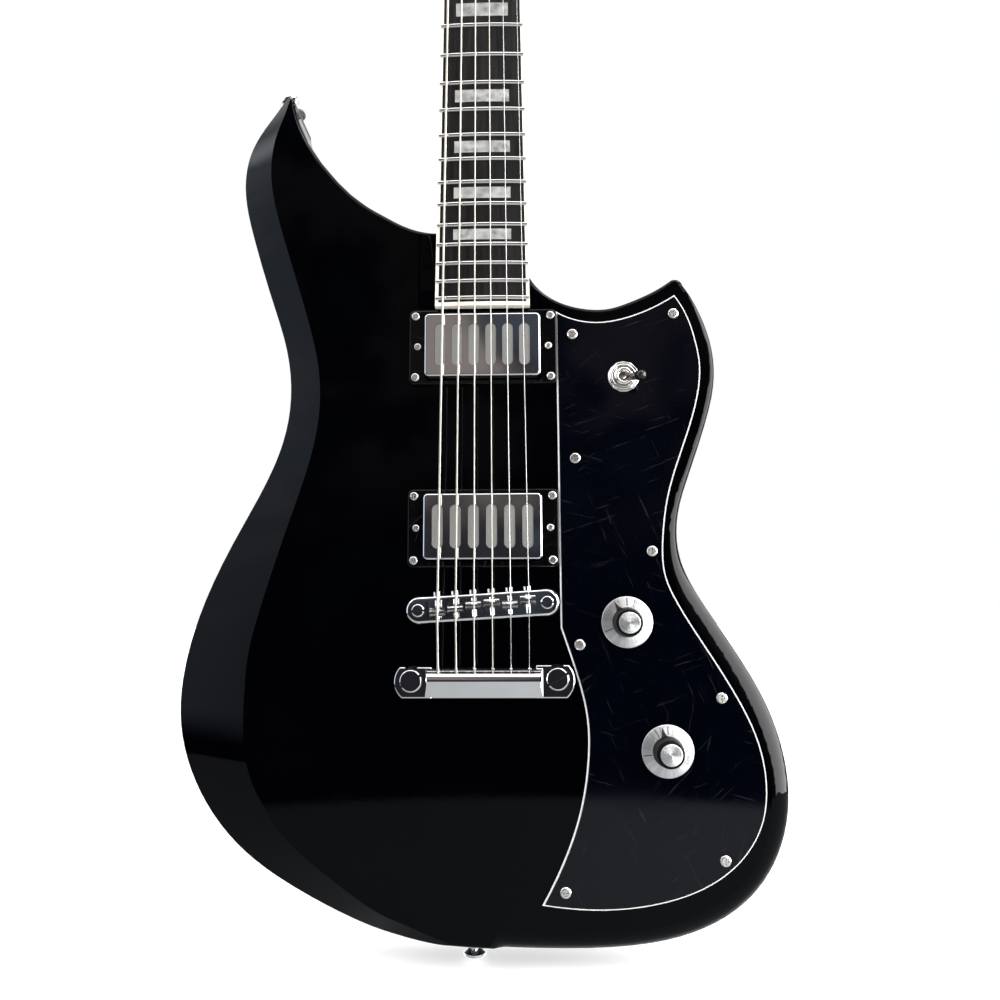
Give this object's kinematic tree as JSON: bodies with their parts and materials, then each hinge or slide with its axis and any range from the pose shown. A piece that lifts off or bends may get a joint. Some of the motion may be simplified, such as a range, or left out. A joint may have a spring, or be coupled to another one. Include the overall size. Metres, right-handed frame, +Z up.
{
  "type": "electric guitar",
  "caption": "Offset solid-body electric guitar with slotted metal pickups, fixed bridge and stop bar, two knobs and a selector switch.",
  "frame": {"origin": "centre line of the strings' plane at the nominal bridge line, on the back face of the body", "axes": "+Z up the neck, -Y out of the front face, +X to the treble side"},
  "size_m": [0.358, 0.0668, 1.0881],
  "materials": {
    "body_lacquer": "high gloss black lacquer",
    "neck_lacquer": "satin black lacquer",
    "ebony": "oiled, fine grain",
    "cream_binding": "polished cream",
    "pearloid": "grey-white pearloid",
    "fret_wire": "polished nickel silver",
    "nut_bone": "polished",
    "chrome": "mirror chrome",
    "rod_steel": "plain steel",
    "string_nickel": "wound nickel",
    "string_steel": "plain steel",
    "guard_black": "gloss black laminate",
    "guard_white": "white core ply",
    "ring_black": "gloss black",
    "coil_grey": "matt light grey",
    "knob_black": "black moulded",
    "knob_metal": "spun aluminium",
    "pot_steel": "zinc plated",
    "lever_black": "black moulded",
    "felt_black": "felt",
    "wire_insulation": "plain"
  },
  "bodies": {
    "guitar": {"body": "body_lacquer", "neck": "neck_lacquer", "headstock_veneer": "guard_black", "fretboard": "ebony", "fretboard_binding": "cream_binding", "block_inlays": "pearloid", "frets": "fret_wire", "nut": "nut_bone", "truss_rod": "rod_steel", "truss_rod_cover": "ring_black", "strap_buttons": "chrome", "strap_felts": "felt_black", "tuner_housings": "chrome", "tuner_bushings": "chrome", "wound_strings": "string_nickel", "plain_strings": "string_steel", "bridge_frame": "chrome", "bridge_posts": "chrome", "saddle_screws": "chrome", "tailpiece": "chrome", "tailpiece_studs": "chrome", "pickup_rings": "ring_black", "ring_screws": "chrome", "pickup_springs": "rod_steel", "pickguard": "guard_black", "pickguard_core": "guard_white", "cover_screws": "chrome", "pot_housings": "pot_steel", "switch_housing": "chrome", "output_jack": "chrome", "wiring_harness": "wire_insulation"},
    "switch": {"switch_lever": "lever_black"},
    "volume": {"volume_knob": "knob_black", "volume_knob_skirt": "knob_metal", "volume_pot_shaft": "knob_metal"},
    "tone": {"tone_knob": "knob_black", "tone_knob_skirt": "knob_metal", "tone_pot_shaft": "knob_metal"},
    "neck_pickup": {"neck_pickup_cover": "chrome", "neck_pickup_coils": "coil_grey"},
    "bridge_pickup": {"bridge_pickup_cover": "chrome", "bridge_pickup_coils": "coil_grey"},
    "saddle_1": {"saddle_1": "chrome"},
    "saddle_2": {"saddle_2": "chrome"},
    "saddle_3": {"saddle_3": "chrome"},
    "saddle_4": {"saddle_4": "chrome"},
    "saddle_5": {"saddle_5": "chrome"},
    "saddle_6": {"saddle_6": "chrome"},
    "tuner_key_1": {"tuner_key_1": "chrome"},
    "tuner_post_1": {"tuner_post_1": "chrome"},
    "tuner_key_2": {"tuner_key_2": "chrome"},
    "tuner_post_2": {"tuner_post_2": "chrome"},
    "tuner_key_3": {"tuner_key_3": "chrome"},
    "tuner_post_3": {"tuner_post_3": "chrome"},
    "tuner_key_4": {"tuner_key_4": "chrome"},
    "tuner_post_4": {"tuner_post_4": "chrome"},
    "tuner_key_5": {"tuner_key_5": "chrome"},
    "tuner_post_5": {"tuner_post_5": "chrome"},
    "tuner_key_6": {"tuner_key_6": "chrome"},
    "tuner_post_6": {"tuner_post_6": "chrome"}
  },
  "joints": [
    {"name": "switch_throw", "type": "hinge", "parent": "guitar", "child": "switch", "pos_m": [0.0846, -0.044, 0.1308], "axis": [0.3697, 0, 0.9291], "range_deg": [-50, 0]},
    {"name": "volume_turn", "type": "hinge", "parent": "guitar", "child": "volume", "pos_m": [0.083, -0.045, -0.0152], "axis": [0, -1, 0], "range_deg": [-182, 118]},
    {"name": "tone_turn", "type": "hinge", "parent": "guitar", "child": "tone", "pos_m": [0.1042, -0.045, -0.0874], "axis": [0, -1, 0], "range_deg": [-163, 137]},
    {"name": "neck_pickup_height", "type": "slide", "parent": "guitar", "child": "neck_pickup", "axis": [0, -1, 0], "range_m": [-0.0015, 0.0015], "deforming": ["pickup_springs"]},
    {"name": "bridge_pickup_height", "type": "slide", "parent": "guitar", "child": "bridge_pickup", "axis": [0, -1, 0], "range_m": [-0.0015, 0.0015], "deforming": ["pickup_springs"]},
    {"name": "saddle_1_slide", "type": "slide", "parent": "guitar", "child": "saddle_1", "axis": [-0.0593, 0, 0.9982], "range_m": [-0.0008, 0.0038]},
    {"name": "saddle_2_slide", "type": "slide", "parent": "guitar", "child": "saddle_2", "axis": [-0.0593, 0, 0.9982], "range_m": [-0.0021, 0.0025]},
    {"name": "saddle_3_slide", "type": "slide", "parent": "guitar", "child": "saddle_3", "axis": [-0.0593, 0, 0.9982], "range_m": [-0.0033, 0.0013]},
    {"name": "saddle_4_slide", "type": "slide", "parent": "guitar", "child": "saddle_4", "axis": [-0.0593, 0, 0.9982], "range_m": [-0.0039, 0.0007]},
    {"name": "saddle_5_slide", "type": "slide", "parent": "guitar", "child": "saddle_5", "axis": [-0.0593, 0, 0.9982], "range_m": [-0.0023, 0.0023]},
    {"name": "saddle_6_slide", "type": "slide", "parent": "guitar", "child": "saddle_6", "axis": [-0.0593, 0, 0.9982], "range_m": [-0.0043, 0.0003]},
    {"name": "tuner_key_1_turn", "type": "hinge", "parent": "guitar", "child": "tuner_key_1", "pos_m": [-0.021, -0.02384, 0.74097], "axis": [-1, 0, 0], "continuous": true},
    {"name": "tuner_post_1_turn", "type": "hinge", "parent": "guitar", "child": "tuner_post_1", "pos_m": [-0.021, -0.0437, 0.75337], "axis": [0, -0.9781, 0.2079], "continuous": true},
    {"name": "tuner_key_2_turn", "type": "hinge", "parent": "guitar", "child": "tuner_key_2", "pos_m": [-0.0215, -0.01553, 0.7801], "axis": [-1, 0, 0], "continuous": true},
    {"name": "tuner_post_2_turn", "type": "hinge", "parent": "guitar", "child": "tuner_post_2", "pos_m": [-0.0215, -0.03538, 0.7925], "axis": [0, -0.9781, 0.2079], "continuous": true},
    {"name": "tuner_key_3_turn", "type": "hinge", "parent": "guitar", "child": "tuner_key_3", "pos_m": [-0.022, -0.00721, 0.81922], "axis": [-1, 0, 0], "continuous": true},
    {"name": "tuner_post_3_turn", "type": "hinge", "parent": "guitar", "child": "tuner_post_3", "pos_m": [-0.022, -0.02707, 0.83162], "axis": [0, -0.9781, 0.2079], "continuous": true},
    {"name": "tuner_key_4_turn", "type": "hinge", "parent": "guitar", "child": "tuner_key_4", "pos_m": [0.022, -0.00721, 0.81922], "axis": [1, 0, 0], "continuous": true},
    {"name": "tuner_post_4_turn", "type": "hinge", "parent": "guitar", "child": "tuner_post_4", "pos_m": [0.022, -0.02707, 0.83162], "axis": [0, -0.9781, 0.2079], "continuous": true},
    {"name": "tuner_key_5_turn", "type": "hinge", "parent": "guitar", "child": "tuner_key_5", "pos_m": [0.0215, -0.01553, 0.7801], "axis": [1, 0, 0], "continuous": true},
    {"name": "tuner_post_5_turn", "type": "hinge", "parent": "guitar", "child": "tuner_post_5", "pos_m": [0.0215, -0.03538, 0.7925], "axis": [0, -0.9781, 0.2079], "continuous": true},
    {"name": "tuner_key_6_turn", "type": "hinge", "parent": "guitar", "child": "tuner_key_6", "pos_m": [0.021, -0.02384, 0.74097], "axis": [1, 0, 0], "continuous": true},
    {"name": "tuner_post_6_turn", "type": "hinge", "parent": "guitar", "child": "tuner_post_6", "pos_m": [0.021, -0.0437, 0.75337], "axis": [0, -0.9781, 0.2079], "continuous": true}
  ],
  "couplings": [
    {"joint": "tuner_post_1_turn", "follows": "tuner_key_1_turn", "ratio": 0.071429},
    {"joint": "tuner_post_2_turn", "follows": "tuner_key_2_turn", "ratio": 0.071429},
    {"joint": "tuner_post_3_turn", "follows": "tuner_key_3_turn", "ratio": 0.071429},
    {"joint": "tuner_post_4_turn", "follows": "tuner_key_4_turn", "ratio": -0.071429},
    {"joint": "tuner_post_5_turn", "follows": "tuner_key_5_turn", "ratio": -0.071429},
    {"joint": "tuner_post_6_turn", "follows": "tuner_key_6_turn", "ratio": -0.071429}
  ]
}
